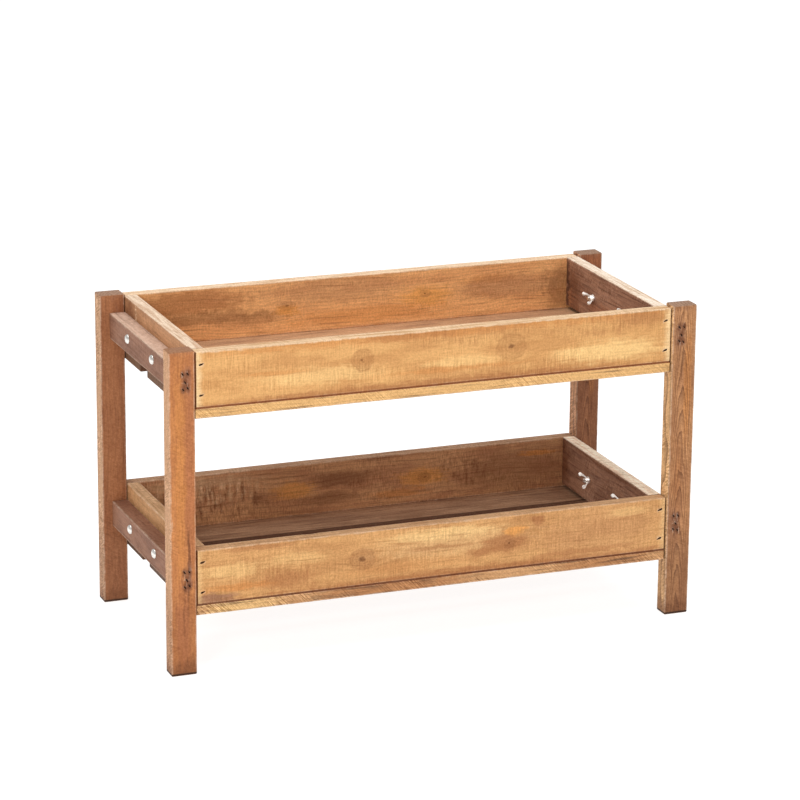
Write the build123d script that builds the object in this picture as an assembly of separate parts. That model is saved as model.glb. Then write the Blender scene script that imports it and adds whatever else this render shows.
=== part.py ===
from build123d import *
import math
import os

# Two-tier display shelf. Sizes are in millimetres: X runs along the shelf, Y towards its back
# and Z up from the ground. The origin is on the ground, midway between the four posts.

# Posts
post_width = 31.0
post_depth = 22.0
post_rise = 3.0  # above the upper tray's rim
post_rounding = 1.2
post_end_ease = 1.0
stand_depth = 300.0  # over the front and rear posts

# Rails
rail_thickness = 20.0
rail_height = 32.0
rail_rise = 28.0  # from a tray's underside to its rail's underside
rail_stand_off = 1.0  # past the posts' inner faces, so that the trays clear the posts
rail_ease = 1.0

# Trays
tray_length = 605.0
tray_setback = 3.0  # behind the posts' front and rear faces
lower_tray_base = 72.0
tier_pitch = 240.0
wall_thickness = 16.0
wall_height = 67.0
floor_thickness = 13.0
floor_board_width = 80.0
board_ease = 0.8
end_rebate_height = 5.0  # along the end boards' lower inner edge
end_rebate_depth = 8.0

# Carriage bolts, size M5
bolt_diameter = 5.0
bolt_head_diameter = 12.0
bolt_head_height = 3.6
bolt_neck_margin = 0.2  # of each flat outside the shank
bolt_neck_length = 3.6
bolt_tip_ease = 0.7
bolt_thread_showing = 2.4  # past the wing nut's hub
bolt_hole_clearance = 0.5
bolt_spacing = 98.0
bolt_offset = 2.5  # of a pair's middle from the rail's middle
bolt_rise = 19.0  # above the rail's underside

# Washers
washer_ring_width = 1.85
washer_thickness = 1.0
washer_clearance = 0.15

# Wing nuts
nut_clearance = 0.08
nut_base_wall = 1.9
nut_top_wall = 1.2
nut_hub_height = 4.6
wing_span = 23.0
wing_height = 11.0
wing_tip_radius = 2.4
wing_thickness = 2.2
wing_root_height = 0.9  # where a wing's lower edge meets the hub
wing_join_drop = 0.8  # of a wing's upper edge below the hub's top
wing_angles = {"lower_front": 62.0, "lower_rear": 47.0, "upper_front": 80.0, "upper_rear": 27.0}  # from level

# Flat-sided brads, driven below the surface
nail_width = 2.6
nail_thickness = 1.4
nail_sink = 1.5
post_nail_length = 45.0
corner_nail_length = 40.0
floor_nail_length = 32.0
post_nail_column = 9.5  # inner brads of a cluster, out from the rail's inner face
post_nail_inset = 4.0  # uppermost brads of a cluster, down from the rail's top
post_nail_cluster = [(6.0, 0.0), (0.0, 0.0), (3.0, 10.0), (0.0, 17.0), (5.5, 18.5)]  # out, down
corner_nail_inset = 15.0  # from the long boards' upper and lower edges
floor_nail_inset = 14.0  # from a floor board's long edges
floor_nail_pitch = 180.0  # along the long walls
floor_nails_per_wall = 3

# Extra depth of a cut past the surface that it opens
cut_margin = 1.0

# Values worked out from the sizes above
tray_height = floor_thickness + wall_height
tray_depth = stand_depth - 2 * tray_setback
post_height = lower_tray_base + tier_pitch + tray_height + post_rise
post_x = tray_length / 2 + rail_stand_off + post_width / 2
post_y = (stand_depth - post_depth) / 2
rail_length = stand_depth - 2 * post_depth
rail_x = (tray_length + rail_thickness) / 2
rail_outer_x = tray_length / 2 + rail_thickness
wall_y = (tray_depth - wall_thickness) / 2
end_board_x = (tray_length - wall_thickness) / 2
end_board_inner_x = tray_length / 2 - wall_thickness
end_board_length = tray_depth - 2 * wall_thickness
clamped_thickness = rail_thickness + wall_thickness
bolt_neck_side = bolt_diameter + 2 * bolt_neck_margin
bolt_hole_radius = bolt_diameter / 2 + bolt_hole_clearance
washer_hole_radius = bolt_diameter / 2 + washer_clearance
nut_bore_radius = bolt_diameter / 2 + nut_clearance
bolt_length = clamped_thickness + washer_thickness + nut_hub_height + bolt_thread_showing

tray_bases = {"lower": lower_tray_base, "upper": lower_tray_base + tier_pitch}
ends = {"left": -1, "right": 1}
faces = {"front": -1, "rear": 1}
floor_boards = {"front": -1, "middle": 0, "rear": 1}


def eased_board(length, depth, height, ease):
    """A board about the origin with chamfered edges."""
    blank = Box(length, depth, height)
    return chamfer(blank.edges(), ease)


def seat(point, outward, across):
    """A place on a surface: Z points out of it and X lies along across."""
    return Plane(origin=point, x_dir=across, z_dir=outward).location


def nail(length):
    """A brad below a surface at Z = 0, pointing down."""
    return Pos(0, 0, -nail_sink - length / 2) * Box(nail_width, nail_thickness, length)


def nail_hole(length):
    """The room of a sunk brad, open at the surface."""
    depth = cut_margin + nail_sink + length
    return Pos(0, 0, cut_margin - depth / 2) * Box(nail_width, nail_thickness, depth)


def rail_base_z(tier):
    """Height of the underside of a tier's rails."""
    return tray_bases[tier] + rail_rise


def wall_middle_z(tier):
    """Height of the middle of a tray's walls."""
    return tray_bases[tier] + floor_thickness + wall_height / 2


# Places of the nails, each list under the pieces that its nails hold together


def post_nail_seats(tier, end, face):
    """An uneven cluster of brads through a post into a rail's end."""
    inner_x = tray_length / 2 + post_nail_column
    top_z = rail_base_z(tier) + rail_height - post_nail_inset
    surface_y = faces[face] * stand_depth / 2
    outward = (0, faces[face], 0)
    points = [(ends[end] * (inner_x + out), surface_y, top_z - down) for out, down in post_nail_cluster]
    return [seat(point, outward, (0, 0, 1)) for point in points]


def corner_nail_seats(tier, end, face):
    """Two brads through a long board into an end board."""
    reach = wall_height / 2 - corner_nail_inset
    surface_y = faces[face] * tray_depth / 2
    outward = (0, faces[face], 0)
    heights = [wall_middle_z(tier) - reach, wall_middle_z(tier) + reach]
    points = [(ends[end] * end_board_x, surface_y, z) for z in heights]
    return [seat(point, outward, (1, 0, 0)) for point in points]


def floor_board_y(place):
    """Middle of a floor board: the outer two are flush with the tray's outside."""
    return floor_boards[place] * (tray_depth - floor_board_width) / 2


def floor_end_nail_seats(tier, end, place):
    """Two brads up through a floor board's end into the sole of an end board."""
    sole_middle = tray_length / 2 - (wall_thickness - end_rebate_depth) / 2
    under_long_board = wall_thickness if place in faces else 0
    strip_middle = floor_board_y(place) - floor_boards[place] * under_long_board / 2
    reach = (floor_board_width - under_long_board) / 2 - floor_nail_inset
    depths = [strip_middle - reach, strip_middle + reach]
    points = [(ends[end] * sole_middle, y, tray_bases[tier]) for y in depths]
    return [seat(point, (0, 0, -1), (0, 1, 0)) for point in points]


def floor_wall_nail_seats(tier, face):
    """A row of brads up through an outer floor board into a long board."""
    steps = [index - (floor_nails_per_wall - 1) / 2 for index in range(floor_nails_per_wall)]
    points = [(step * floor_nail_pitch, faces[face] * wall_y, tray_bases[tier]) for step in steps]
    return [seat(point, (0, 0, -1), (1, 0, 0)) for point in points]


def holes(seats, length):
    """Nail holes at the given seats."""
    return [place * nail_hole(length) for place in seats]


def bolt_seats(tier, end):
    """Places of an end's two bolt heads on the rail's outer face, Z along the bolts."""
    inward = (-ends[end], 0, 0)
    pair_middle = -ends[end] * bolt_offset
    places = {}
    for face, direction in faces.items():
        y = pair_middle + direction * bolt_spacing / 2
        point = (ends[end] * rail_outer_x, y, rail_base_z(tier) + bolt_rise)
        places[face] = Plane(origin=point, x_dir=(0, 1, 0), z_dir=inward).location
    return places


def bolt_hole():
    """Drilled hole through a rail and an end board, with the square seat of the neck."""
    drill_length = clamped_thickness + 2 * cut_margin
    drill = Pos(0, 0, drill_length / 2 - cut_margin) * Cylinder(bolt_hole_radius, drill_length)
    socket_depth = bolt_neck_length + cut_margin
    socket_middle = bolt_neck_length - socket_depth / 2
    socket = Pos(0, 0, socket_middle) * Box(bolt_neck_side, bolt_neck_side, socket_depth)
    return drill + socket


def bolt_holes(tier, end):
    """Both bolt holes of a rail and the end board behind it."""
    return [place * bolt_hole() for place in bolt_seats(tier, end).values()]


def post(end, face):
    """A post with rounded long edges and the nail holes of its two rails."""
    blank = Box(post_width, post_depth, post_height)
    blank = fillet(blank.edges().filter_by(Axis.Z), post_rounding)
    end_faces = blank.faces().filter_by(Axis.Z)
    blank = chamfer(end_faces.edges(), post_end_ease)
    timber = Pos(ends[end] * post_x, faces[face] * post_y, post_height / 2) * blank
    cuts = []
    for tier in tray_bases:
        cuts += holes(post_nail_seats(tier, end, face), post_nail_length)
    return timber - cuts


def rail(tier, end):
    """A rail between a front and a rear post, drilled for two bolts."""
    blank = eased_board(rail_thickness, rail_length, rail_height, rail_ease)
    timber = Pos(ends[end] * rail_x, 0, rail_base_z(tier) + rail_height / 2) * blank
    cuts = bolt_holes(tier, end)
    for face in faces:
        cuts += holes(post_nail_seats(tier, end, face), post_nail_length)
    return timber - cuts


def long_board(tier, face):
    """A front or back board, over the end boards' ends."""
    blank = eased_board(tray_length, wall_thickness, wall_height, board_ease)
    timber = Pos(0, faces[face] * wall_y, wall_middle_z(tier)) * blank
    cuts = holes(floor_wall_nail_seats(tier, face), floor_nail_length)
    for end in ends:
        cuts += holes(corner_nail_seats(tier, end, face), corner_nail_length)
    return timber - cuts


def end_board(tier, end):
    """An end board between the long boards, rebated along its lower inner edge."""
    blank = eased_board(wall_thickness, end_board_length, wall_height, board_ease)
    timber = Pos(ends[end] * end_board_x, 0, wall_middle_z(tier)) * blank
    rebate_depth = end_rebate_depth + cut_margin
    rebate_height = end_rebate_height + cut_margin
    rebate_x = end_board_inner_x + end_rebate_depth - rebate_depth / 2
    rebate_z = tray_bases[tier] + floor_thickness + end_rebate_height - rebate_height / 2
    rebate = Pos(ends[end] * rebate_x, 0, rebate_z) * Box(rebate_depth, tray_depth, rebate_height)
    cuts = [rebate] + bolt_holes(tier, end)
    for face in faces:
        cuts += holes(corner_nail_seats(tier, end, face), corner_nail_length)
    for place in floor_boards:
        cuts += holes(floor_end_nail_seats(tier, end, place), floor_nail_length)
    return timber - cuts


def floor_board(tier, place):
    """A lengthwise floor board under a tray's walls."""
    blank = eased_board(tray_length, floor_board_width, floor_thickness, board_ease)
    timber = Pos(0, floor_board_y(place), tray_bases[tier] + floor_thickness / 2) * blank
    cuts = []
    for end in ends:
        cuts += holes(floor_end_nail_seats(tier, end, place), floor_nail_length)
    if place in faces:
        cuts += holes(floor_wall_nail_seats(tier, place), floor_nail_length)
    return timber - cuts


def carriage_bolt():
    """A bolt along Z with its domed head below Z = 0 and a square neck above it."""
    head_radius = bolt_head_diameter / 2
    rim = (head_radius, 0)
    crown = (0, -bolt_head_height)
    dome_radius = (head_radius**2 + bolt_head_height**2) / (2 * bolt_head_height)
    dome = RadiusArc(crown, rim, -dome_radius)
    outline = dome + Line(rim, (0, 0)) + Line((0, 0), crown)
    head = revolve(Plane.XZ * make_face(outline), Axis.Z)
    neck = Pos(0, 0, bolt_neck_length / 2) * Box(bolt_neck_side, bolt_neck_side, bolt_neck_length)
    shank = Pos(0, 0, bolt_length / 2) * Cylinder(bolt_diameter / 2, bolt_length)
    tip = shank.edges().filter_by(GeomType.CIRCLE).sort_by(Axis.Z)[-1]
    shank = chamfer(tip, bolt_tip_ease)
    return head + neck + shank


def washer():
    """A flat washer standing on Z = 0."""
    ring = Circle(washer_hole_radius + washer_ring_width) - Circle(washer_hole_radius)
    return extrude(ring, washer_thickness)


def wing():
    """One wing along X: a straight lower edge, a round tip and a hollow for the finger, all tangent."""
    hub_wall_middle = nut_bore_radius + nut_top_wall / 2
    low = Vector(hub_wall_middle, wing_root_height)
    join = Vector(hub_wall_middle, nut_hub_height - wing_join_drop)
    tip = Vector(wing_span / 2 - wing_tip_radius, wing_height - wing_tip_radius)
    outermost = tip + Vector(wing_tip_radius, 0)

    # The lower edge touches the tip's circle from below
    lean = math.asin(wing_tip_radius / (tip - low).length)
    bearing = math.atan2(tip.Y - low.Y, tip.X - low.X) - lean
    under = tip + Vector(math.sin(bearing), -math.cos(bearing)) * wing_tip_radius

    # The hollow is level at the hub and touches the tip's circle at the crest
    across = tip.X - join.X
    rise = tip.Y - join.Y
    hollow_radius = (across**2 + rise**2 - wing_tip_radius**2) / (2 * (wing_tip_radius + rise))
    hollow = join + Vector(0, hollow_radius)
    towards_tip = (tip - hollow).normalized()
    crest = hollow + towards_tip * hollow_radius
    hollow_middle = hollow + (towards_tip + Vector(0, -1)).normalized() * hollow_radius

    outline = Line(low, under) + ThreePointArc(under, outermost, crest)
    outline += ThreePointArc(crest, hollow_middle, join) + Line(join, low)
    return extrude(Plane.XZ * make_face(outline), wing_thickness / 2, both=True)


def wing_nut():
    """A wing nut standing on Z = 0: a tapered hub with a wing on each side."""
    base_radius = nut_bore_radius + nut_base_wall
    top_radius = nut_bore_radius + nut_top_wall
    hub_outline = Polyline(
        (0, 0),
        (base_radius, 0),
        (top_radius, nut_hub_height),
        (0, nut_hub_height),
        close=True,
    )
    hub = revolve(Plane.XZ * make_face(hub_outline), Axis.Z)
    right_wing = wing()
    bore = Pos(0, 0, nut_hub_height / 2) * Cylinder(nut_bore_radius, nut_hub_height + 2 * cut_margin)
    return hub + right_wing + mirror(right_wing, Plane.YZ) - bore


def build_pieces():
    """Every piece of the shelf in its place, by name."""
    pieces = {}
    for end in ends:
        for face in faces:
            pieces[f"{face}_{end}_post"] = post(end, face)

    bolt = carriage_bolt()
    bolts = []
    ring = washer()
    nut = wing_nut()
    post_nails = []
    corner_nails = []
    floor_nails = []
    for tier in tray_bases:
        for end in ends:
            pieces[f"{tier}_{end}_rail"] = rail(tier, end)
            pieces[f"{tier}_{end}_end_board"] = end_board(tier, end)
            for face, place in bolt_seats(tier, end).items():
                name = f"{tier}_{end}_{face}"
                bolts.append(place * bolt)
                pieces[f"{name}_washer"] = place * Pos(0, 0, clamped_thickness) * ring
                nut_base = Pos(0, 0, clamped_thickness + washer_thickness)
                turn = Rot(0, 0, -ends[end] * wing_angles[f"{tier}_{face}"])
                pieces[f"{name}_wing_nut"] = place * nut_base * turn * nut
            for face in faces:
                post_nails += post_nail_seats(tier, end, face)
                corner_nails += corner_nail_seats(tier, end, face)
            for place in floor_boards:
                floor_nails += floor_end_nail_seats(tier, end, place)
        for face in faces:
            pieces[f"{tier}_{face}_board"] = long_board(tier, face)
            floor_nails += floor_wall_nail_seats(tier, face)
        for place in floor_boards:
            pieces[f"{tier}_{place}_floor_board"] = floor_board(tier, place)

    pieces["carriage_bolts"] = Compound(bolts)
    groups = {
        "post_nails": (post_nails, post_nail_length),
        "corner_nails": (corner_nails, corner_nail_length),
        "floor_nails": (floor_nails, floor_nail_length),
    }
    for name, (seats, length) in groups.items():
        pieces[name] = Compound([place * nail(length) for place in seats])
    return pieces


os.makedirs("parts", exist_ok=True)
for piece_name, piece in build_pieces().items():
    export_step(piece, os.path.join("parts", piece_name + ".step"))
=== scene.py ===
import math
from collections.abc import Sequence
from dataclasses import dataclass, replace

import bmesh
import bpy
from mathutils import Matrix, Vector, noise


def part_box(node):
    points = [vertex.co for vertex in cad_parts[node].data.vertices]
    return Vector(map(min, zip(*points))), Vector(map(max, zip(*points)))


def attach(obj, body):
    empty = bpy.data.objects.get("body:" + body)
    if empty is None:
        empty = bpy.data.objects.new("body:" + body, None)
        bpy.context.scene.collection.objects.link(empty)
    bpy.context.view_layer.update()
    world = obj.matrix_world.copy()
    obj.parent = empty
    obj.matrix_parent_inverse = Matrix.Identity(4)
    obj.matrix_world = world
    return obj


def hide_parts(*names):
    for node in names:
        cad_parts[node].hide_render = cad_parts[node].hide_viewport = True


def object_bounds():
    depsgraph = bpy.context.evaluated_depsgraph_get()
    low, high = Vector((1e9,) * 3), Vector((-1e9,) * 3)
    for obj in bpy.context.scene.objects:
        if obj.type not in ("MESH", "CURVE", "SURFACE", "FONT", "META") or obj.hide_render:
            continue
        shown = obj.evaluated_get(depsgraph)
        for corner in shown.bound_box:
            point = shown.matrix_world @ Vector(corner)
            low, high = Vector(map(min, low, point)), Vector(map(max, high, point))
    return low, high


# Two-tier display shelf of stained softwood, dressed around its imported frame. Lengths are metres
# unless a name or a comment says millimetres.
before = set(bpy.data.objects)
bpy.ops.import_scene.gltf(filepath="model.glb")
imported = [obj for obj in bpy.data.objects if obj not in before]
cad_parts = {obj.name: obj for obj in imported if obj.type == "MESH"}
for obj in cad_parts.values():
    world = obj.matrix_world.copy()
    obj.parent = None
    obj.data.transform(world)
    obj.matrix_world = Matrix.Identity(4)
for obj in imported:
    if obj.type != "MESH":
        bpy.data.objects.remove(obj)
cad_low, cad_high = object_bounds()

MM = 0.001
X, Y, Z = 0, 1, 2

# Camera, fitted to the photograph's edges
CAMERA_PLACE = (-1.4726, -3.7943, 1.4482)
CAMERA_YAW = -21.32
CAMERA_PITCH = -16.20
CAMERA_ROLL = 0.51
CAMERA_LENS_MM = 155.66
CAMERA_SENSOR_MM = 36.0

# Board meshes
STATION = 5 * MM  # spacing of the sections along the grain
CORNER_STEPS = 4
SHOULDER = 1.6 * MM  # strip beside a corner over which edge wear fades
FACE_STEP = 9 * MM
END_STEPS = 3
SHARP_ANGLE = 35  # degrees, past which shading stays sharp
CORNER_WEAR = 1.0 * MM  # usual radius of a worn corner
LONG_WEAR = (0.45, 40 * MM)  # share of that radius which varies, and its wavelength
SHORT_WEAR = (0.35, 7 * MM)
CHIP_WEAR = (0.3, 3 * MM)
LEAST_RADIUS = 0.3 * MM

# Nail pits, bolt holes and rebates
DEEPEST_NAIL = 3 * MM  # of a nail's head below the surface
CORNER_PIT = (6.6 * MM, 2.3 * MM, 18)  # length, width and lean in degrees
POST_PIT = (4.4 * MM, 1.9 * MM, 32)
PIT_TAPER = 0.5  # of a corner nail's pit, towards the board's middle
PIT_LEAN_SPREAD = 9
PIT_SIZE_SPREAD = 0.25
PIT_FLOOR_SHARE = 0.62
PIT_SIDES = 10
PIT_MARGIN = 0.1 * MM
BRUISE_LENGTH = 8.0  # radii in millimetres
BRUISE_WIDTH = 4.6
NAILED_HEIGHTS = (118, 358)  # of the posts' nails, in millimetres
LEFT_POST_NAILS = 21  # millimetres from a post's left face
RIGHT_POST_NAILS = 9
BOLT_HOLE = 6.0 * MM  # diameter
HOLE_SIDES = 32
REBATE_HEIGHT = 5 * MM
REBATE_DEPTH = 8 * MM
CUT_MARGIN = 1 * MM  # of a cutter past the wood

# Carriage bolts
HEAD_SIDES = 40
DOME_STEPS = 8
DOME_TIP = 0.02 * MM  # radius of the flat at the dome's top
HEAD_RIM = 0.25 * MM
HEAD_EASE = 0.15 * MM
SHANK_RADIUS = 2.5 * MM
THREAD_PITCH = 0.8 * MM
THREAD_DEPTH = 0.45 * MM
THREAD_LENGTH = 16 * MM
THREAD_FLANK = 1.3  # above 1 the crests are flat
THREAD_SIDES = 24
THREAD_STEPS = 6  # rings in one pitch

# Rounded edges of the wing nuts and washers
NUT_EDGE = 0.15 * MM
WASHER_EDGE = 0.2 * MM
WELD_GAP = 0.01 * MM  # within which corners are one
EDGE_SEGMENTS = 3
EDGE_ANGLE = 30  # degrees, past which an edge is rounded
FLAT_ANGLE = 1  # degrees, within which faces are one

# Stage
FLOOR_SIZE = 40.0
AIM = (0, 0, 0.2)
SKY_STRENGTH = 0.55


# Meshes


def new_object(name, data):
    """An object in the scene."""
    thing = bpy.data.objects.new(name, data)
    bpy.context.scene.collection.objects.link(thing)
    return thing


def new_piece(name, mesh, node):
    """A piece of the stand with smooth shading, in place of a node."""
    mesh.shade_smooth()
    mesh.set_sharp_from_angle(angle=math.radians(SHARP_ANGLE))
    piece = new_object(name, mesh)
    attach(piece, "stand")
    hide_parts(node)


def ripple(along, seed, wavelength):
    """Smooth noise from -1 to 1 along a line."""
    return noise.noise(Vector((along / wavelength, seed * 7.31, seed * 1.7)))


def corner_radius(along, corner, seed, chips):
    """Radius of a worn corner at one place along a board."""
    share, wavelength = LONG_WEAR
    radius = CORNER_WEAR * (1 + share * ripple(along, seed + corner, wavelength))
    share, wavelength = SHORT_WEAR
    radius += CORNER_WEAR * share * ripple(along, seed + corner + 0.5, wavelength)
    share, wavelength = CHIP_WEAR
    for chip_corner, place, half_length, depth in chips:
        reach = 1 - abs(along - place * MM) / (half_length * MM)
        if chip_corner == corner and reach > 0:
            radius += depth * MM * math.sqrt(reach) * (1 + share * ripple(along, seed, wavelength))
    return max(radius, LEAST_RADIUS)


def ring(half_a, half_b, inset, radii):
    """One inset section: points and edge wear, counter-clockwise from the corner at +a +b."""
    signs = [(1, 1), (-1, 1), (-1, -1), (1, -1)]
    arcs = []
    for corner, (sign_a, sign_b) in enumerate(signs):
        radius = radii[corner]
        arc = []
        for step in range(CORNER_STEPS + 1):
            turn = math.pi / 2 * (corner + step / CORNER_STEPS)
            a = sign_a * (half_a - inset - radius) + radius * math.cos(turn)
            b = sign_b * (half_b - inset - radius) + radius * math.sin(turn)
            arc.append((a, b))
        arcs.append(arc)
    points = []
    for corner, arc in enumerate(arcs):
        points += [(a, b, 1.0) for a, b in arc]
        start = Vector(arc[-1])
        finish = Vector(arcs[(corner + 1) % 4][0])
        width = 2 * (half_a if corner % 2 == 0 else half_b)
        steps = max(1, round(width / FACE_STEP))
        shoulder = SHOULDER / width
        shares = [shoulder + (1 - 2 * shoulder) * step / steps for step in range(steps + 1)]
        points += [(*start.lerp(finish, share), 0.0) for share in shares]
    return points


def stations(length, end_ease):
    """Places along a board with the inset of its eased ends."""
    middle = max(2, round((length - 2 * end_ease) / STATION))
    ease = []
    for step in range(END_STEPS):
        turn = math.pi / 2 * step / END_STEPS
        ease.append((end_ease * (1 - math.cos(turn)), end_ease * (1 - math.sin(turn))))
    body = [(end_ease + (length - 2 * end_ease) * step / middle, 0.0) for step in range(middle + 1)]
    far = [(length - along, inset) for along, inset in reversed(ease)]
    return ease + body + far


def loop_faces(rows, count):
    """Faces of a closed form through rows of vertices, as many in each."""
    faces = []
    for start in range(0, (rows - 1) * count, count):
        for index in range(count):
            after = (index + 1) % count
            above = start + count
            faces.append((start + index, start + after, above + after, above + index))
    faces.append(tuple(reversed(range(count))))
    faces.append(tuple(range((rows - 1) * count, rows * count)))
    return faces


def worn_board(node, grain, seed, chips, end_ease):
    """A board in a node's box with worn corners along its grain. Chips are a corner, a place along
    the grain, a half length and a depth, in millimetres."""
    low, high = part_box(node)
    size = high - low
    axis_a = (grain + 1) % 3
    axis_b = (grain + 2) % 3
    middle = (low + high) / 2
    vertices = []
    edge_wear = []
    rings = stations(size[grain], end_ease * MM)
    for along, inset in rings:
        place = low[grain] + along
        radii = [corner_radius(place, corner, seed, chips) for corner in range(4)]
        section = ring(size[axis_a] / 2, size[axis_b] / 2, inset, radii)
        for a, b, edge in section:
            point = Vector(middle)
            point[grain] = place
            point[axis_a] += a
            point[axis_b] += b
            vertices.append(point)
            edge_wear.append(1.0 if inset > 0 else edge)
    mesh = bpy.data.meshes.new(node + "_timber")
    mesh.from_pydata(vertices, [], loop_faces(len(rings), len(section)))
    attribute = mesh.attributes.new("edge_wear", "FLOAT", "POINT")
    attribute.data.foreach_set("value", edge_wear)
    return mesh


def add_form(shape, outlines):
    """Adds a closed form through equal outlines."""
    vertices = [shape.verts.new(point) for outline in outlines for point in outline]
    for face in loop_faces(len(outlines), len(outlines[0])):
        shape.faces.new([vertices[index] for index in face])


def prism(outlines):
    """A cutter through equal outlines."""
    shape = bmesh.new()
    add_form(shape, outlines)
    bmesh.ops.recalc_face_normals(shape, faces=shape.faces)
    return shape


def joined(name, shapes, material):
    """One mesh of several bmeshes, which it uses up."""
    whole = bmesh.new()
    for shape in shapes:
        part = bpy.data.meshes.new("part")
        shape.to_mesh(part)
        shape.free()
        whole.from_mesh(part)
        bpy.data.meshes.remove(part)
    mesh = bpy.data.meshes.new(name)
    whole.to_mesh(mesh)
    whole.free()
    mesh.materials.append(material)
    return mesh


def oval(length, width, turn, sides, taper=0.0):
    """Points of an oval about the origin, narrower at one end, turned by degrees."""
    points = []
    for side in range(sides):
        angle = math.tau * side / sides
        half_width = width / 2 * (1 - taper * math.cos(angle))
        point = Vector((length / 2 * math.cos(angle), half_width * math.sin(angle), 0))
        points.append(Matrix.Rotation(math.radians(turn), 3, "Z") @ point)
    return points


def looking(axis, across):
    """Rotation that turns Z to an outward axis and X to a direction across it."""
    out = Vector(axis)
    side = Vector(across)
    return Matrix((side, out.cross(side), out)).transposed().to_4x4()


def islands(node):
    """Boxes of the separate solids in a node."""
    shape = bmesh.new()
    shape.from_mesh(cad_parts[node].data)
    bmesh.ops.remove_doubles(shape, verts=shape.verts, dist=0.001 * MM)
    unseen = set(shape.verts)
    boxes = []
    while unseen:
        group = [unseen.pop()]
        for vertex in group:
            for edge in vertex.link_edges:
                other = edge.other_vert(vertex)
                if other in unseen:
                    unseen.remove(other)
                    group.append(other)
        low = Vector([min(vertex.co[axis] for vertex in group) for axis in range(3)])
        high = Vector([max(vertex.co[axis] for vertex in group) for axis in range(3)])
        boxes.append((low, high))
    shape.free()
    return sorted(boxes, key=lambda box: tuple(round(value, 5) for value in box[0]))


def inside(place, low, high):
    """Whether a place is in a box."""
    return all(low[axis] <= place[axis] <= high[axis] for axis in range(3))


def carve(mesh, cutters, material):
    """A mesh without its cutters, whose cut faces take a material."""
    target = new_object("carved", mesh)
    tool = new_object("cutters", joined("cutters", cutters, material))
    modifier = target.modifiers.new("carve", "BOOLEAN")
    modifier.operation = "DIFFERENCE"
    modifier.solver = "EXACT"
    modifier.material_mode = "TRANSFER"
    modifier.object = tool
    depsgraph = bpy.context.evaluated_depsgraph_get()
    carved = bpy.data.meshes.new_from_object(target.evaluated_get(depsgraph))
    bpy.data.meshes.remove(tool.data)
    bpy.data.objects.remove(target)
    carved.name = mesh.name
    bpy.data.meshes.remove(mesh)
    return carved


# Materials


def tone(red, green, blue):
    """A colour given as display values from 0 to 255."""
    def linear(value):
        share = value / 255
        return share / 12.92 if share <= 0.04045 else ((share + 0.055) / 1.055) ** 2.4
    return (linear(red), linear(green), linear(blue), 1.0)


class Graph:
    """Short calls that add nodes to one material."""

    def __init__(self, name):
        self.material = bpy.data.materials.new(name)
        self.material.use_nodes = True
        self.tree = self.material.node_tree
        self.tree.nodes.clear()

    def add(self, kind, inputs, output=0, **settings):
        """A node with its settings, and inputs that are values or other nodes' outputs."""
        node = self.tree.nodes.new(kind)
        for key, value in settings.items():
            setattr(node, key, value)
        for key, value in inputs.items():
            if isinstance(value, bpy.types.NodeSocket):
                self.tree.links.new(value, node.inputs[key])
            else:
                node.inputs[key].default_value = value
        return node.outputs[output]

    def math(self, operation, *values):
        return self.add("ShaderNodeMath", dict(enumerate(values)), operation=operation)

    def times(self, value, factor, plus=0.0):
        return self.math("MULTIPLY_ADD", value, factor, plus)

    def vector(self, operation, *values, output=0):
        return self.add("ShaderNodeVectorMath", dict(enumerate(values)), output, operation=operation)

    def place_times(self, factor):
        """The place in the frame, in metres, times a number."""
        place = self.add("ShaderNodeTexCoord", {}, "Object")
        return self.vector("MULTIPLY", place, (factor, factor, factor))

    def combine(self, x, y, z):
        return self.add("ShaderNodeCombineXYZ", {0: x, 1: y, 2: z})

    def noise(self, vector, detail=2.0, roughness=0.5, output=0):
        inputs = {"Vector": vector, "Scale": 1.0, "Detail": detail, "Roughness": roughness}
        return self.add("ShaderNodeTexNoise", inputs, output)

    def span(self, value, low, high, low_out=0.0, high_out=1.0):
        """A value eased from one range to another."""
        inputs = {"Value": value, "From Min": low, "From Max": high}
        inputs |= {"To Min": low_out, "To Max": high_out}
        return self.add("ShaderNodeMapRange", inputs, interpolation_type="SMOOTHSTEP")

    def mix(self, share, first, second, blend="MIX"):
        """A colour with a share of a second one."""
        inputs = {0: share, 6: first, 7: second}
        return self.add("ShaderNodeMix", inputs, 2, data_type="RGBA", blend_type=blend)

    def finish(self, inputs):
        """The surface shader and the material's output."""
        shader = self.add("ShaderNodeBsdfPrincipled", inputs)
        output = self.tree.nodes.new("ShaderNodeOutputMaterial")
        self.tree.links.new(shader, output.inputs["Surface"])
        return self.material


# Which frame axis runs along, across and through a board
LONG_BOARD = (X, Z, Y)
SHORT_BOARD = (Y, Z, X)
UPRIGHT = (Z, X, Y)
FLOOR_BOARD = (X, Y, Z)

BARE = tone(226, 206, 184)
KNOT_CORE = tone(112, 66, 36)
CRUSHED = tone(104, 58, 34)
# Painted shade of the gaps between the posts and the long boards' ends
GAP_SHADE = tone(96, 48, 14)
# Dark end grain and painted shade along the posts' feet
FOOT_GRAIN_AND_SHADE = tone(44, 26, 16)
# Dirt and painted shade along the gaps between the floor boards
EDGE_DIRT_AND_SHADE = tone(90, 58, 40)

RING_SPACING = 4.2  # millimetres
DIRT_AND_SHADE_SHARE = 0.92  # of dirt, painted shade and end grain over the stain

# How squarely a surface faces an axis where a look starts and is full
SIDE_TURN = (0.5, 0.85)
FACE_TURN = (0.3, 0.6)
BROAD_TURN = (0.4, 0.7)
END_TURN = (0.25, 0.65)


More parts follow.
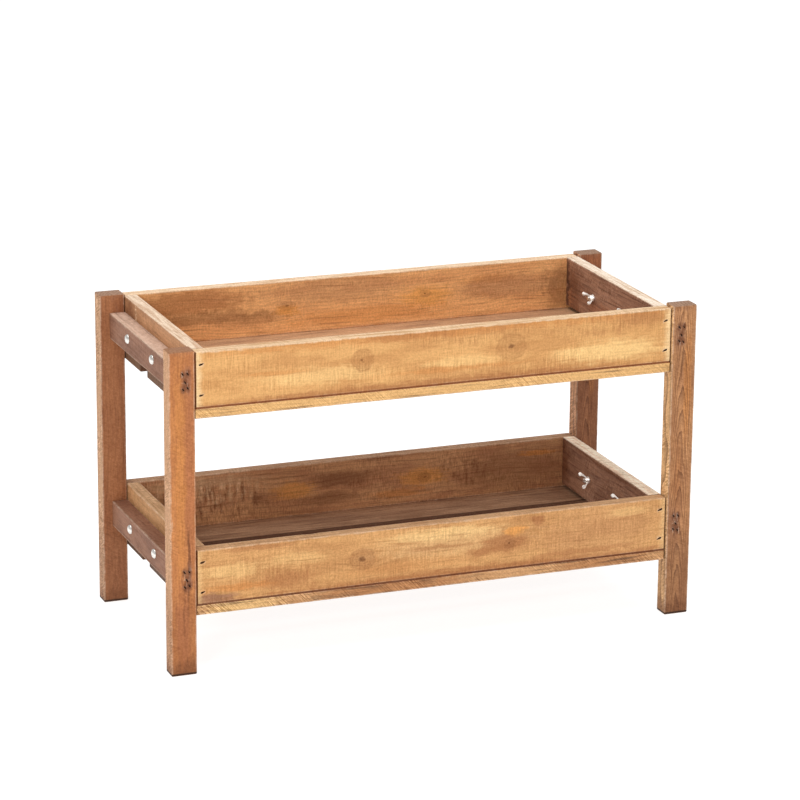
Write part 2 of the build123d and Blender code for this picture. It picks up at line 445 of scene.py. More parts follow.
@dataclass
class Look:
    """How a board's wood looks, in millimetres. A place is along and across the grain."""
    tones: tuple  # light, middle and dark
    figure: tuple  # strengths of the streaks and of the growth rings
    arch: tuple = None  # place, length and width of arched grain on the broad faces
    saw: tuple = (1.7, 0.0, 10.0, 0.36)  # pitch, slant, length and strength of the saw marks
    comb_pitch: float = 2.4  # of the strokes
    nap: float = 0.28  # strength of the fine mottle
    stains: Sequence = ()  # place, two radii, colour and strength of each patch
    strokes: Sequence = ()  # patches like the stains, combed by the saw
    knots: Sequence = ()  # place, two radii and strength
    sides: Sequence = ()  # axis, way or 0 for both, colour, strength and gain of the saw marks
    bare: tuple = None  # height, raggedness and two colours of a sanded rim
    pale_ends: tuple = None  # start and finish along the grain, colour and strength
    end_tone: tuple = None  # of the end grain, dark unless given; painted gap shade on the long boards
    joints: Sequence = ()  # way along Y or 0 for all faces, axis, place, reach and the colour of dirt and painted shade
    bruises: Sequence = ()  # place of a nail, and the axis and sign of the face that it opens on


class Timber(Graph):
    """Stained softwood, in millimetres along and across the grain."""

    def __init__(self, name, axes, seed, look):
        super().__init__(name)
        self.look = look
        self.light, self.middle, self.dark = look.tones
        self.grain_axis, _, self.broad_axis = axes
        self.shift = seed * 137.0
        self.frame_axes = self.split(self.place_times(1000))
        self.along, self.across, self.through = (self.frame_axes[axis] for axis in axes)
        self.facing = self.split(self.add("ShaderNodeTexCoord", {}, "Normal"))
        self.spread = self.combine(self.along, self.across, 0.0)
        self.lines = self.grain_lines()
        self.streaks = self.field(70.0, 3.2, detail=4.0, roughness=0.62, across=self.lines)
        self.hairs = self.field(16.0, 0.7, roughness=0.6, across=self.lines)
        self.rough = self.noise(self.place_times(110), 5.0, 0.68)
        stray = self.field(24.0, 9.0, detail=3.0, roughness=0.6, output=1)
        self.stray = self.vector("SUBTRACT", stray, (0.5, 0.5, 0.5))
        self.frays = self.math("SUBTRACT", self.math("ADD", self.streaks, self.rough), 1.0)
        self.rings = self.late_wood()

    def split(self, vector):
        """The three parts of a vector."""
        node = self.tree.nodes.new("ShaderNodeSeparateXYZ")
        self.tree.links.new(vector, node.inputs[0])
        return node.outputs

    def toward(self, turn, axis, way=0, low_out=0.0, high_out=1.0):
        """A value that changes where the surface turns to an axis, one way or, for 0, both."""
        facing = self.facing[axis]
        aside = self.times(facing, way) if way else self.math("ABSOLUTE", facing)
        return self.span(aside, *turn, low_out, high_out)

    def scaled(self, value, length, start=0.0):
        """A place in units of a length."""
        return self.times(value, 1 / length, plus=start)

    def field(self, length, width, detail=2.0, roughness=0.5, along=None, across=None, output=0):
        """Noise with cells of a length along the grain, or another line, and a width across it."""
        u = self.scaled(along or self.along, length, self.shift)
        v = self.scaled(across or self.across, width)
        w = self.scaled(self.through, width)
        return self.noise(self.combine(u, v, w), detail, roughness, output)

    def grain_lines(self):
        """The place across the grain, pushed aside by the knots and drifting along the board."""
        lines = self.across
        for u, v, radius_u, radius_v, _ in self.look.knots:
            near = self.vector("SUBTRACT", self.spread, (u, v, 0))
            near = self.vector("MULTIPLY", near, (0.5 / radius_u, 0.8 / radius_v, 0))
            reach = self.vector("DOT_PRODUCT", near, near, output=1)
            push = self.times(self.math("EXPONENT", self.times(reach, -1.0)), -0.85)
            lines = self.times(self.math("SUBTRACT", self.across, v), push, plus=lines)
        drift = self.noise(self.combine(self.scaled(self.along, 160.0, self.shift), 0.0, 0.0), 1.0)
        return self.times(drift, 14.0, plus=lines)

    def growth_rings(self):
        """Dark late wood of rings about a heart outside the board."""
        heart = self.vector("ADD", self.combine(self.lines, self.through, 0.0), (45.0, 60.0, 0.0))
        radius = self.vector("LENGTH", heart, output=1)
        turns = self.times(self.field(80.0, 30.0), 3.0, plus=self.scaled(radius, RING_SPACING))
        return self.math("POWER", self.math("FRACT", turns), 3.0)

    def arches(self, u, v, length, width):
        """Dark late wood in arches nested along the grain about a middle line."""
        bow = self.scaled(self.math("SUBTRACT", self.across, v), width)
        turns = self.times(bow, bow, plus=self.scaled(self.along, length, -u / length))
        turns = self.times(self.field(50.0, 9.0, detail=3.0), 2.2, plus=turns)
        return self.math("POWER", self.math("FRACT", turns), 2.0)

    def late_wood(self):
        """Growth rings, which arch on the broad faces where the look says so."""
        rings = self.growth_rings()
        if not self.look.arch:
            return rings
        broad = self.toward(BROAD_TURN, self.broad_axis)
        change = self.math("SUBTRACT", self.arches(*self.look.arch), rings)
        return self.times(change, broad, plus=rings)

    def saw_marks(self):
        """Saw strokes across the grain, about 0, fainter in patches and stronger on some sides."""
        pitch, slant, length, _ = self.look.saw
        lean = self.math("ADD", self.across, self.through)
        stroke = self.times(lean, slant, plus=self.along)
        strokes = self.field(pitch, length, roughness=0.6, along=stroke)
        strokes = self.span(strokes, 0.34, 0.66, -0.5, 0.5)
        patches = self.span(self.field(60.0, 26.0), 0.36, 0.64, 0.15, 1.1)
        marks = self.times(strokes, patches)
        for axis, way, _, _, gain in self.look.sides:
            marks = self.times(marks, self.toward(SIDE_TURN, axis, way, 1.0, gain))
        return marks

    def comb(self, index):
        """Teeth of the saw, which break up a stroke."""
        u = self.scaled(self.along, self.look.comb_pitch)
        v = self.scaled(self.across, 20.0)
        return self.span(self.noise(self.combine(u, v, self.shift + index), 3.0, 0.6), 0.42, 0.68)

    def reach(self, u, v, radius_u, radius_v, loose=1.0):
        """Distance from a place in units of two radii, with an edge that frays along the grain."""
        spot = self.vector("MULTIPLY_ADD", self.stray, (26.0 * loose, 9.0 * loose, 0.0), self.spread)
        near = self.vector("SUBTRACT", spot, (u, v, 0))
        near = self.vector("MULTIPLY", near, (1 / radius_u, 1 / radius_v, 0))
        return self.times(self.frays, loose, plus=self.vector("LENGTH", near, output=1))

    def stain(self, under, u, v, radius_u, radius_v, over, strength, comb=None):
        """An uneven patch of one colour over another."""
        share = self.span(self.reach(u, v, radius_u, radius_v), 1.0, 0.35, 0.0, strength)
        if comb:
            share = self.times(share, comb)
        return self.mix(share, under, over)

    def knot(self, under, u, v, radius_u, radius_v, strength):
        """A darker patch with rings, a ragged rim and a small core."""
        reach = self.reach(u, v, radius_u, radius_v, 0.45)
        rings = self.math("FRACT", self.times(reach, 4.0))
        patch = self.times(rings, 0.25, plus=0.3)
        patch = self.times(patch, self.span(reach, 1.02, 0.86, 0.0, strength))
        colour = self.mix(patch, under, self.dark)
        rim = self.math("ABSOLUTE", self.math("SUBTRACT", reach, 0.95))
        rim = self.span(rim, 0.15, 0.0, 0.0, strength)
        rim = self.times(rim, self.span(self.rough, 0.4, 0.62, 0.05, 0.5))
        colour = self.mix(rim, colour, self.dark)
        return self.mix(self.span(reach, 0.26, 0.08, 0.0, strength), colour, KNOT_CORE)

    def bruise(self, under, u, v, axis, sign):
        """Crushed fibres round a nail on the face that it opens on, with a few torn up pale."""
        reach = self.reach(u, v, BRUISE_LENGTH, BRUISE_WIDTH, 0.25)
        over = self.mix(self.span(self.hairs, 0.6, 0.7), CRUSHED, BARE)
        share = self.span(reach, 1.0, 0.3, 0.0, 0.72)
        share = self.times(share, self.toward(FACE_TURN, axis, sign))
        return self.mix(share, under, over)

    def ground(self):
        """The even stain, with another tone on some sides."""
        clouds = self.field(80.0, 22.0, detail=4.0, roughness=0.6)
        colour = self.mix(self.span(clouds, 0.38, 0.64), self.light, self.middle)
        for axis, way, side_tone, strength, _ in self.look.sides:
            colour = self.mix(self.toward(SIDE_TURN, axis, way, 0.0, strength), colour, side_tone)
        return colour

    def stained(self, colour):
        """Patches of other stain, pale ends and combed strokes."""
        for patch in self.look.stains:
            colour = self.stain(colour, *patch)
        if self.look.pale_ends:
            start, finish, pale, strength = self.look.pale_ends
            out = self.times(self.rough, 9.0, plus=self.math("ABSOLUTE", self.along))
            colour = self.mix(self.span(out, start, finish, 0.0, strength), colour, pale)
        for index, patch in enumerate(self.look.strokes):
            colour = self.stain(colour, *patch, comb=self.comb(index))
        return colour

    def figured(self, colour):
        """Streaks, growth rings and knots."""
        streak_strength, ring_strength = self.look.figure
        colour = self.mix(self.span(self.streaks, 0.5, 0.72, 0.0, streak_strength), colour, self.dark)
        colour = self.mix(self.times(self.rings, ring_strength), colour, self.dark)
        for knot in self.look.knots:
            colour = self.knot(colour, *knot)
        return colour

    def worn(self, colour):
        """Bare wood on a sanded rim and on worn corners."""
        if self.look.bare:
            rim, raggedness, pale, tan = self.look.bare
            limit = self.times(self.frays, raggedness, plus=self.frame_axes[Z])
            rim_tone = self.mix(self.span(self.streaks, 0.4, 0.66), pale, tan)
            colour = self.mix(self.span(limit, rim - 0.4, rim + 0.4), colour, rim_tone)
        corners = self.add("ShaderNodeAttribute", {}, "Fac", attribute_name="edge_wear")
        ragged = self.span(self.rough, 0.4, 0.58, 0.15, 0.5)
        share = self.times(self.span(corners, 0.25, 0.95), ragged)
        return self.mix(share, colour, self.mix(0.55, self.light, BARE))

    def dirtied_and_shaded(self, colour):
        """Dirt and painted shade in the joints and gaps, the end grain's tone and crushed wood round
        the nails.
        """
        for way, axis, value, reach, joint_dirt_and_shade in self.look.joints:
            gap = self.math("ABSOLUTE", self.math("SUBTRACT", self.frame_axes[axis], value))
            share = self.span(gap, reach, 0.6 * reach, 0.0, DIRT_AND_SHADE_SHARE)
            if way:
                share = self.times(share, self.toward(FACE_TURN, Y, way))
            colour = self.mix(share, colour, joint_dirt_and_shade)
        end_tone = self.look.end_tone or self.dark
        end_grain = self.mix(self.times(self.rings, 0.6), end_tone, self.dark)
        colour = self.mix(self.toward(END_TURN, self.grain_axis, 0, 0.0, DIRT_AND_SHADE_SHARE), colour, end_grain)
        for place in self.look.bruises:
            colour = self.bruise(colour, *place)
        return colour

    def fine_tone(self):
        """Nap, fibres and saw marks, about 0."""
        nap = self.noise(self.place_times(450), 3.0, 0.65)
        nap = self.span(nap, 0.32, 0.68, -0.5 * self.look.nap, 0.5 * self.look.nap)
        fibres = self.times(self.math("SUBTRACT", self.hairs, 0.5), 0.45, plus=nap)
        *_, saw_strength = self.look.saw
        return self.times(self.saw_marks(), saw_strength, plus=fibres)

    def shaded(self, colour, fine):
        """A colour under the fine tone, which tells most in its blue."""
        shade = [self.times(fine, share, plus=1.0) for share in (0.85, 1.0, 1.2)]
        return self.mix(1.0, colour, self.combine(*shade), "MULTIPLY")


def wood(name, axes, seed, look):
    """A board's material: stain and figure, then wear, dirt and painted shade, with fine marks over
    all.
    """
    timber = Timber(name, axes, seed, look)
    colour = timber.figured(timber.stained(timber.ground()))
    colour = timber.dirtied_and_shaded(timber.worn(colour))
    fine = timber.fine_tone()
    _, ring_strength = look.figure
    relief = timber.times(fine, 1.6, plus=timber.times(timber.rings, ring_strength))
    bump = {"Strength": 0.5, "Distance": 0.35 * MM, "Height": relief}
    return timber.finish({
        "Base Color": timber.shaded(colour, fine),
        "Roughness": timber.span(timber.streaks, 0.3, 0.7, 0.56, 0.74),
        "Normal": timber.add("ShaderNodeBump", bump),
        "Specular IOR Level": 0.2,
    })


def zinc(name, smoothest, roughest):
    """Bright zinc plating with faint handling marks."""
    graph = Graph(name)
    cloud = graph.noise(graph.place_times(350), 3.0, 0.6)
    grain = graph.noise(graph.place_times(2500), 2.0)
    colour = graph.mix(graph.span(cloud, 0.35, 0.65), tone(244, 240, 234), tone(222, 218, 212))
    gloss = graph.span(cloud, 0.3, 0.7, smoothest, roughest)
    normal = graph.add("ShaderNodeBump", {"Strength": 0.2, "Distance": 0.1 * MM, "Height": grain})
    return graph.finish({"Base Color": colour, "Metallic": 0.9, "Roughness": gloss, "Normal": normal})


def dull_steel():
    """Dark brads with a trace of rust."""
    graph = Graph("brad_steel")
    cloud = graph.noise(graph.place_times(700), 3.0, 0.6)
    colour = graph.mix(graph.span(cloud, 0.4, 0.65), tone(62, 44, 32), tone(84, 54, 34))
    gloss = graph.span(cloud, 0.3, 0.7, 0.5, 0.7)
    return graph.finish({"Base Color": colour, "Metallic": 0.5, "Roughness": gloss})


def bruised_wood():
    """Dark crushed fibres inside nail pits and holes."""
    graph = Graph("bruised_wood")
    cloud = graph.noise(graph.place_times(900), 3.0, 0.6)
    colour = graph.mix(cloud, tone(84, 48, 26), tone(40, 22, 12))
    return graph.finish({"Base Color": colour, "Roughness": 0.9})


# Pieces

nails = islands("post_nails") + islands("corner_nails") + islands("floor_nails")
bolts = islands("carriage_bolts")
crushed_wood = bruised_wood()
bolt_zinc = zinc("bolt_zinc", 0.22, 0.32)
cast_zinc = zinc("cast_zinc", 0.4, 0.5)
brad_steel = dull_steel()


def nail_marks(low, high):
    """Nails that open on a board's surface: the place, the nail's axis and direction, the axis that its
    mark lies along, the depth of its head and its number."""
    marks = []
    for index, (nail_low, nail_high) in enumerate(nails):
        length = [nail_high[axis] - nail_low[axis] for axis in range(3)]
        axis = length.index(max(length))
        across = length.index(sorted(length)[1])
        for sign, end in ((-1, nail_low[axis]), (1, nail_high[axis])):
            surface = low[axis] if sign < 0 else high[axis]
            head = (nail_low + nail_high) / 2
            head[axis] = end
            depth = (surface - end) * sign
            if 0 < depth < DEEPEST_NAIL and inside(head, low, high):
                head[axis] = surface
                marks.append((head, axis, sign, across, depth, index))
    return marks


def bore(levels, place, out, side):
    """A cutter through outlines at levels along an outward direction."""
    shape = prism([[point + Vector((0, 0, level)) for point in outline] for outline, level in levels])
    shape.transform(Matrix.Translation(place) @ looking(out, side))
    return shape


def pit(place, axis, sign, across, depth, index):
    """Cutter of one nail pit."""
    out = [sign if i == axis else 0 for i in range(3)]
    side = [1 if i == across else 0 for i in range(3)]
    length, width, lean = CORNER_PIT if across == X else POST_PIT
    tilt = lean + PIT_LEAN_SPREAD * ripple(index, 3.0, 0.37)
    grow = 1 + PIT_SIZE_SPREAD * ripple(index, 8.0, 0.41)
    taper = math.copysign(PIT_TAPER, -place.x) if across == X else 0.0
    mouth = oval(length * grow, width * grow, tilt, PIT_SIDES, taper)
    bottom = [point * PIT_FLOOR_SHARE for point in mouth]
    return bore([(bottom, -depth - PIT_MARGIN), (mouth, 0.0), (mouth, depth)], place, out, side)


def drillings(node, low, high):
    """Cutters of the bolt holes through a rail or an end board."""
    if not node.endswith(("_rail", "_end_board")):
        return []
    cutters = []
    circle = oval(BOLT_HOLE, BOLT_HOLE, 0, HOLE_SIDES)
    reach = (high.x - low.x) / 2 + CUT_MARGIN
    for bolt_low, bolt_high in bolts:
        middle = (bolt_low + bolt_high) / 2
        same_end = middle.x * low.x > 0
        middle.x = (low.x + high.x) / 2
        if same_end and inside(middle, low, high):
            cutters.append(bore([(circle, -reach), (circle, reach)], middle, (1, 0, 0), (0, 1, 0)))
    return cutters


def rebate(node, low, high):
    """Cutter of the step along an end board's lower inner edge."""
    if not node.endswith("_end_board"):
        return []
    inner = high.x if high.x < 0 else low.x
    outward = -1 if high.x < 0 else 1
    open_side = inner - outward * CUT_MARGIN
    back = inner + outward * REBATE_DEPTH
    under = low.z - CUT_MARGIN
    top = low.z + REBATE_HEIGHT
    corners = [(open_side, under), (back, under), (back, top), (open_side, top)]
    ends = (low.y - CUT_MARGIN, high.y + CUT_MARGIN)
    return [prism([[(x, y, z) for x, z in corners] for y in ends])]


def dress(node, axes, slot, seed, look, chips=(), end_ease=0.9):
    """Replaces a wooden node by a worn board with its nail pits and bolt holes."""
    low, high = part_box(node)
    marks = nail_marks(low, high)
    along, across, through = axes
    if slot == "post_wood":
        bruises = [(place[along] / MM, place[across] / MM, axis, sign)
                   for place, axis, sign, *_ in marks if axis == through]
        look = replace(look, bruises=bruises)
    mesh = worn_board(node, along, seed, chips, end_ease)
    mesh.materials.append(wood(node + "_wood", axes, seed, look))
    cutters = [pit(*mark) for mark in marks] + drillings(node, low, high) + rebate(node, low, high)
    if cutters:
        mesh = carve(mesh, cutters, crushed_wood)
    new_piece(node + "_timber", mesh, node)


def turned_loop(radii, level):
    """Points round Z, one for each radius."""
    loop = []
    for side, radius in enumerate(radii):
        turn = math.tau * side / len(radii)
        loop.append((radius * math.cos(turn), radius * math.sin(turn), level))
    return loop


def add_head(shape, radius, height):
    """Adds a carriage bolt's domed head below 0."""
    profile = []
    for step in range(DOME_STEPS):
        turn = math.pi / 2 * step / DOME_STEPS
        profile.append((DOME_TIP + (radius - DOME_TIP) * math.sin(turn), -height * math.cos(turn)))
    profile += [(radius, -HEAD_RIM), (radius - HEAD_EASE, 0.0)]
    add_form(shape, [turned_loop([around] * HEAD_SIDES, level) for around, level in profile])


def add_shank(shape, length):
    """Adds a shank above 0, plain and then threaded, with a tapered tip."""
    core = SHANK_RADIUS - THREAD_DEPTH
    loops = [turned_loop([SHANK_RADIUS] * THREAD_SIDES, 0.0)]
    for step in range(int(THREAD_LENGTH / THREAD_PITCH * THREAD_STEPS) + 1):
        level = length - THREAD_LENGTH + step * THREAD_PITCH / THREAD_STEPS
        taper = min(1.0, (length - level) / THREAD_PITCH)
        radii = []
        for side in range(THREAD_SIDES):
            phase = (step / THREAD_STEPS - side / THREAD_SIDES) % 1.0
            crest = min(1.0, THREAD_FLANK * (1 - abs(2 * phase - 1)))
            radii.append(core + THREAD_DEPTH * crest * taper)
        loops.append(turned_loop(radii, level))
    add_form(shape, loops)


def make_bolts():
    """All carriage bolts as one piece."""
    head_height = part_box("upper_left_rail")[0].x - bolts[0][0].x
    shapes = []
    for low, high in bolts:
        inward = 1 if low.x < 0 else -1
        shape = bmesh.new()
        add_head(shape, (high.y - low.y) / 2, head_height)
        add_shank(shape, high.x - low.x - head_height)
        middle = (low + high) / 2
        middle.x = (low.x if inward > 0 else high.x) + inward * head_height
        shape.transform(Matrix.Translation(middle) @ looking((inward, 0, 0), (0, 1, 0)))
        shapes.append(shape)
    mesh = joined("threaded_bolts", shapes, bolt_zinc)
    new_piece("threaded_bolts", mesh, "carriage_bolts")


def paint(node, material):
    """Gives a node a material as it is."""
    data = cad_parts[node].data
    data.materials.clear()
    data.materials.append(material)


def plate(node, material, edge):
    """Gives a metal node its plating and rounded edges."""
    paint(node, material)
    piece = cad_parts[node]
    weld = piece.modifiers.new("weld", "WELD")
    weld.merge_threshold = WELD_GAP
    flat = piece.modifiers.new("flat_faces", "DECIMATE")
    flat.decimate_type = "DISSOLVE"
    flat.angle_limit = math.radians(FLAT_ANGLE)
    rounding = piece.modifiers.new("rounding", "BEVEL")
    rounding.limit_method = "ANGLE"
    rounding.angle_limit = math.radians(EDGE_ANGLE)
    rounding.width = edge
    rounding.segments = EDGE_SEGMENTS
    rounding.use_clamp_overlap = False
    rounding.loop_slide = False
    rounding.harden_normals = True


# Looks

GOLD = (tone(224, 170, 108), tone(208, 152, 94), tone(158, 102, 58))
DEEP_GOLD = (tone(216, 162, 104), tone(198, 144, 90), tone(148, 96, 58))
PALE_GOLD = tone(244, 206, 148)
BRIGHT_GOLD = tone(244, 200, 134)
ORANGE = tone(206, 136, 74)
BRIGHT_ORANGE = tone(230, 160, 86)
BROWN = tone(170, 110, 66)
DEEP_BROWN = tone(118, 72, 44)
PLUM = tone(148, 104, 82)
# Pale sawn wood with painted light, for the posts' left faces
PALE_AND_LIT_SIDE = tone(208, 164, 126)
SPLINTER = tone(232, 200, 164)

POST_RED = (tone(198, 130, 78), tone(182, 116, 70), tone(126, 74, 46))
POST_DIM = (tone(174, 116, 78), tone(158, 102, 68), tone(110, 68, 46))
POST_DULL = (tone(198, 142, 96), tone(176, 122, 82), tone(96, 58, 38))
POST_DARK = (tone(168, 113, 78), tone(146, 95, 66), tone(84, 48, 32))
POST_TOP = tone(154, 122, 100)
BROWN_TOP = tone(148, 106, 76)
RAIL = (tone(154, 110, 86), tone(136, 95, 74), tone(92, 60, 46))
BACK_UPPER = (tone(248, 187, 125), tone(234, 170, 112), tone(156, 103, 67))
BACK_LOWER = (tone(208, 156, 112), tone(188, 134, 96), tone(108, 68, 44))
END_BROWN = (tone(202, 150, 108), tone(180, 130, 92), tone(118, 78, 52))
END_TAN = (tone(216, 166, 116), tone(196, 146, 100), tone(126, 82, 50))
DARK_TONES = (tone(174, 130, 104), tone(146, 106, 84), tone(86, 56, 42))
FLOOR_UPPER = (tone(198, 154, 116), tone(170, 128, 96), tone(108, 77, 56))
FLOOR_LOWER = (tone(182, 144, 114), tone(154, 118, 92), tone(92, 66, 50))

DARK_END = Look(tones=DARK_TONES, figure=(0.6, 0.35), saw=(1.6, 0.4, 12.0, 0.5))


def post_look(tones, figure, side, x, stains=(), top=POST_TOP, arch=None):
    """A post whose stain is darker round its nails and at its two ends, with painted light on its left
    face and dark end grain and painted shade along its foot.
    """
    nailed = [(z, x, 26, 9, PLUM, 0.5) for z in NAILED_HEIGHTS]
    ends = [
        (40, x, 90, 60, tones[2], 0.35),
        (0, x, 24, 60, DEEP_BROWN, 0.65),
        (cad_high.z / MM, x, 6, 60, PLUM, 0.3),
    ]
    return Look(
        tones=tones,
        figure=figure,
        arch=arch,
        saw=(2.0, 0.5, 9.0, 0.2),
        stains=[*stains, *nailed, *ends],
        # Painted light on the post's left face, over its paler sawn wood
        sides=[(X, -1, side, 0.8, 3.5)],
        end_tone=top,
        # Dark end grain and painted shade along the foot
        joints=[(0, Z, 0, 4.0, FOOT_GRAIN_AND_SHADE)],
    )


def dress_posts():
    """The four posts, redder on the left and duller on the right."""
    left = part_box("front_left_post")[0].x / MM + LEFT_POST_NAILS
    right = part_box("front_right_post")[0].x / MM + RIGHT_POST_NAILS
    front_left = [
        (240, left - 9, 190, 9, tone(204, 134, 74), 0.75),
        (60, left - 6, 70, 12, tone(174, 106, 74), 0.5),
        (250, left + 4, 190, 8, tone(176, 110, 72), 0.7),
        (128, left + 1, 78, 2.4, DEEP_BROWN, 0.8),
        (80, left - 5, 50, 1.8, DEEP_BROWN, 0.5),
    ]
    front_right = [(290, right + 12, 90, 7, ORANGE, 0.6), (180, right + 2, 60, 8, BROWN, 0.6)]
    rear_right = [
        (384, right + 6, 16, 30, tone(172, 102, 64), 0.6),
        (250, right + 12, 80, 6, ORANGE, 0.4),
    ]
    looks = {
        # Each side tone is pale sawn wood with painted light on the post's left face
        "front_left_post": post_look(POST_RED, (0.25, 0.15), PALE_AND_LIT_SIDE, left, front_left, BROWN_TOP),
        "rear_left_post": post_look(POST_DIM, (0.4, 0.25), PALE_AND_LIT_SIDE, left),
        "front_right_post": post_look(POST_DULL, (0.5, 0.75), tone(252, 204, 146), right, front_right,
                                      arch=(230, right + 6, 34, 6.5)),
        "rear_right_post": post_look(POST_DARK, (0.45, 0.7), tone(226, 170, 126), right, rear_right,
                                     arch=(250, right + 6, 26, 5.5)),
    }
    chips = {"front_left_post": [(2, 187, 9, 2.0)]}
    for seed, (node, look) in enumerate(looks.items(), 1):
        dress(node, UPRIGHT, "post_wood", seed, look, chips=chips.get(node, ()), end_ease=1.6)


def tray_joints(tier, way, joint_dirt_and_shade):
    """Joints between a long wall and its floor board, with dirt and painted shade, and painted shade in
    the gap at their right end.
    """
    low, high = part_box(f"{tier}_front_board")
    return [(way, Z, low.z / MM, 1.6, joint_dirt_and_shade), (way, X, high.x / MM, 1.3, GAP_SHADE)]


def dress_tray(tier, seed, walls, rail, floor, floor_edge, front_chips, joint_dirt_and_shade):
    """The rails, walls and floor of one tray. The floor's outer edges have a colour, its strength and
    a gain of the saw marks."""
    tray_low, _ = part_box(f"{tier}_front_board")
    outward = {"front": -1, "rear": 1}
    chips = {"front": front_chips, "rear": ()}
    for index, end in enumerate(("left", "right")):
        dress(f"{tier}_{end}_rail", SHORT_BOARD, "rail_wood", seed + index, rail)
        dress(f"{tier}_{end}_end_board", SHORT_BOARD, "wall_wood", seed + 2 + index, walls[end])
    for index, (face, way) in enumerate(outward.items()):
        # The floor joint takes dirt and painted shade, and the gaps at both ends and the boards' end
        # grain take painted shade.
        joints = tray_joints(tier, way, joint_dirt_and_shade) + [(way, X, tray_low.x / MM, 2.4, GAP_SHADE)]
        look = replace(walls[face], joints=joints, end_tone=GAP_SHADE)
        node = f"{tier}_{face}_board"
        dress(node, LONG_BOARD, "wall_wood", seed + 4 + index, look, chips=chips[face], end_ease=2.0)
    for index, place in enumerate(("front", "middle", "rear")):
        node = f"{tier}_{place}_floor_board"
        way = outward.get(place, 0)
        inner = [side.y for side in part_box(node) if abs(side.y) < abs(tray_low.y) - MM]
        # Dirt and painted shade along the gaps between the floor boards, and painted shade on their
        # inner edges
        joints = [(0, Y, y / MM, 5.5, EDGE_DIRT_AND_SHADE) for y in inner]
        sides = [(Y, -way, DEEP_BROWN, 0.9, 1.0)]
        if way:
            joints += tray_joints(tier, way, joint_dirt_and_shade)
            sides = [(Y, way, *floor_edge), *sides]
        look = replace(floor, sides=sides, joints=joints)
        dress(node, FLOOR_BOARD, "floor_wood", seed + 6 + index, look)


dress_posts()

# Upper tray: golden front, orange-brown back and pale sanded rims
UPPER_BASE, UPPER_RIM = (corner.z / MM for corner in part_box("upper_front_board"))
UPPER_FRONT = Look(
    tones=GOLD,
    figure=(0.16, 0.08),
    nap=0.2,
    saw=(1.6, 0.0, 24.0, 0.26),
    bare=(UPPER_RIM - 1.2, 4.0, tone(222, 190, 152), tone(190, 146, 102)),
    stains=[
        (0, UPPER_BASE, 420, 11, BROWN, 0.75),
        (0, UPPER_RIM, 420, 13, ORANGE, 0.6),
        (-150, 350, 95, 14, BRIGHT_GOLD, 0.6),
        (30, 350, 60, 10, BRIGHT_GOLD, 0.5),
        (225, 346, 95, 18, BRIGHT_GOLD, 0.9),
        (-205, 358, 60, 4, ORANGE, 0.5),
        (20, 343, 120, 5, ORANGE, 0.5),
        (268, 385, 45, 13, BROWN, 0.4),
        (-40, 389, 80, 9, BROWN, 0.5),
    ],
    pale_ends=(295, 306, tone(252, 222, 170), 0.75),
    strokes=[
        (215, 382, 95, 26, BROWN, 0.5),
        (60, 380, 120, 16, BROWN, 0.5),
        (120, 335, 190, 14, BROWN, 0.4),
    ],
    knots=[(-96, 364, 15, 14, 0.8), (93, 363, 20, 17, 0.7)],
)
UPPER_REAR = Look(
    tones=BACK_UPPER,
    figure=(0.6, 0.3),
    saw=(1.7, 0.0, 10.0, 0.18),
    bare=(UPPER_RIM - 1.0, 3.0, tone(232, 204, 172), tone(204, 164, 126)),
    stains=[
        (-30, 376, 140, 24, PLUM, 0.33),
        (-225, 374, 110, 22, BROWN, 0.7),
        (-205, 354, 110, 11, DEEP_BROWN, 0.5),
        (-140, 348, 60, 11, DEEP_BROWN, 0.4),
        (-92, 354, 20, 9, BRIGHT_ORANGE, 0.9),
        (92, 358, 50, 17, tone(242, 174, 98), 0.9),
        (20, 340, 150, 14, tone(226, 156, 90), 0.6),
        (180, 372, 60, 9, ORANGE, 0.5),
        (205, 361, 95, 21, PLUM, 0.4),
        (275, 352, 28, 40, DEEP_BROWN, 0.5),
    ],
    knots=[(-92, 361, 10, 6, 0.6), (92, 361, 9, 5, 0.7)],
)
UPPER_LEFT = Look(
    tones=END_BROWN,
    figure=(0.4, 0.2),
    bare=(UPPER_RIM - 0.8, 2.0, tone(228, 204, 178), tone(194, 158, 128)),
    # The deep brown patch near the rear end is painted shadow of the rear post
    stains=[(107, 368, 24, 34, DEEP_BROWN, 0.6), (84, 378, 1.8, 16, SPLINTER, 0.9)],
)
UPPER_RIGHT = replace(
    DARK_END,
    bare=(UPPER_RIM - 0.8, 2.0, tone(238, 220, 200), tone(206, 178, 150)),
    stains=[
        (108, 350, 30, 50, DEEP_BROWN, 0.6),
        (126, 358, 6, 60, tone(72, 46, 32), 0.75),
        (118, 340, 4, 28, tone(176, 118, 80), 0.6),
        (20, 345, 60, 12, tone(176, 116, 82), 0.5),
    ],
)
dress_tray(
    "upper",
    seed=10,
    walls=dict(front=UPPER_FRONT, rear=UPPER_REAR, left=UPPER_LEFT, right=UPPER_RIGHT),
    # The upper rails' top faces take a paler tone: painted light from above
    rail=Look(tones=RAIL, figure=(0.4, 0.15), sides=[(Z, 1, tone(214, 182, 160), 0.8, 1.0)]),
    floor=Look(tones=FLOOR_UPPER, figure=(0.6, 0.2), saw=(1.4, 1.0, 16.0, 0.16)),
    floor_edge=(tone(232, 182, 118), 0.9, 3.0),
    front_chips=[(1, -245, 7, 2.6), (1, -160, 12, 1.0), (1, -205, 9, 0.9), (1, -275, 10, 1.0)],
    # Dirt and painted shade along the upper tray's floor joints
    joint_dirt_and_shade=tone(136, 72, 30),
)

